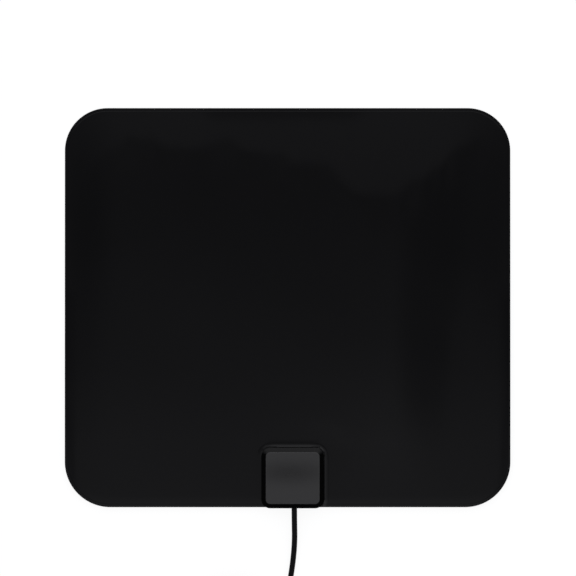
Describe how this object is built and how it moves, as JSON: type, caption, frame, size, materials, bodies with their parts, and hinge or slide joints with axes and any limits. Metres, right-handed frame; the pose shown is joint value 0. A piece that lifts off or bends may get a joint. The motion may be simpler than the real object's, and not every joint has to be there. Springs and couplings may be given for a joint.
{
  "type": "flat indoor tv antenna",
  "caption": "Flat rounded black film panel with a foil dipole inside, a small drafted junction box on its lower edge, and a thin coaxial lead to a plug.",
  "frame": {"origin": "under the middle of the film panel, on the plane that the panel lies on", "axes": "+X to the panel's right and +Y to its upper edge, as seen from the front; +Z out of its front face, up from the surface it lies on"},
  "size_m": [0.24, 0.3023, 0.0115],
  "materials": {
    "front_film": "semi-gloss black PVC sheet",
    "rear_film": "satin black PVC sheet",
    "foil": "die-cut rolled foil",
    "cover_plastic": "spark-textured moulded ABS",
    "screw_steel": "blackened steel",
    "board": "solder mask on glass-fibre laminate",
    "eyelet_brass": "rolled brass",
    "ferrite": "sintered ferrite",
    "primary_wire": "enamelled copper wire",
    "secondary_wire": "enamelled copper wire",
    "clamp_steel": "tinned sheet",
    "braid_wire": "tinned copper braid",
    "dielectric": "polyethylene",
    "conductor_wire": "drawn copper wire",
    "cable_jacket": "extruded PVC jacket",
    "tie_plastic": "PVC-coated wire tie",
    "plug_plastic": "moulded PVC",
    "plug_metal": "nickel plate"
  },
  "bodies": {
    "root": {"rear_film": "rear_film", "front_film": "front_film", "element_left": "foil", "element_right": "foil", "rear_cover": "cover_plastic", "front_cover": "cover_plastic", "cover_screws": "screw_steel", "circuit_board": "board", "contact_eyelets": "eyelet_brass", "balun_core": "ferrite", "primary_winding": "primary_wire", "secondary_winding": "secondary_wire", "braid_clamp": "clamp_steel", "coax_braid": "braid_wire", "coax_dielectric": "dielectric", "coax_conductor": "conductor_wire", "cable_run": "cable_jacket", "cable_coil": "cable_jacket", "cable_tail": "cable_jacket", "coil_tie": "tie_plastic", "plug_grip": "plug_plastic", "plug_shell": "plug_metal", "plug_insulator": "dielectric", "plug_pin": "plug_metal"}
  },
  "joints": []
}
